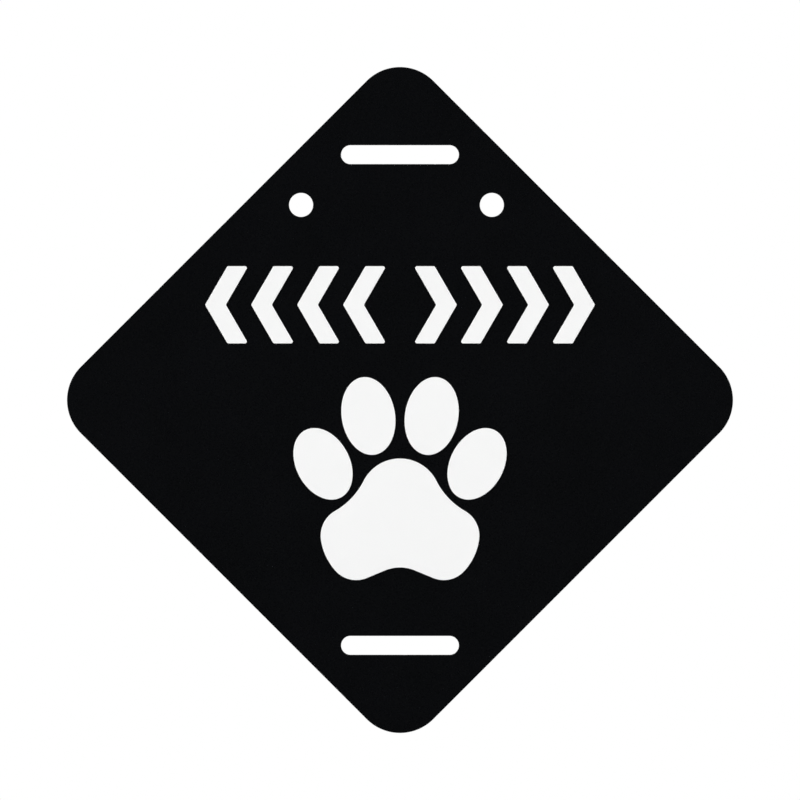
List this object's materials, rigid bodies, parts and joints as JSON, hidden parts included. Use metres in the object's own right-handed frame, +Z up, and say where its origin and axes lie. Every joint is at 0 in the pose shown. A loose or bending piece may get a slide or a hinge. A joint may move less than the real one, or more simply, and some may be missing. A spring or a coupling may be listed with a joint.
{
  "type": "trail marker",
  "caption": "Flat diamond trail marker: a routed composite panel with strap slots, screw holes and white reflective paw and chevron symbols on a black face.",
  "frame": {"origin": "centre of the panel's flat back face, which lies against the post or tree", "axes": "+Z up along the diamond's vertical diagonal, +X to the right seen from the front, +Y out of the back; the face looks along -Y"},
  "size_m": [0.1696, 0.0034, 0.1696],
  "materials": {
    "black_coating": "satin black coil coating on aluminium sheet",
    "core_plastic": "black polyethylene, matte where routed",
    "mill_aluminium": "mill finish with a fine rolling grain",
    "white_film": "white beaded reflective film under a clear topcoat"
  },
  "bodies": {
    "root": {"rear_skin": "mill_aluminium", "panel_core": "core_plastic", "front_skin": "black_coating", "paw_pad": "white_film", "inner_toe_left": "white_film", "inner_toe_right": "white_film", "outer_toe_left": "white_film", "outer_toe_right": "white_film", "chevron_left_1": "white_film", "chevron_left_2": "white_film", "chevron_left_3": "white_film", "chevron_left_4": "white_film", "chevron_right_1": "white_film", "chevron_right_2": "white_film", "chevron_right_3": "white_film", "chevron_right_4": "white_film"}
  },
  "joints": []
}
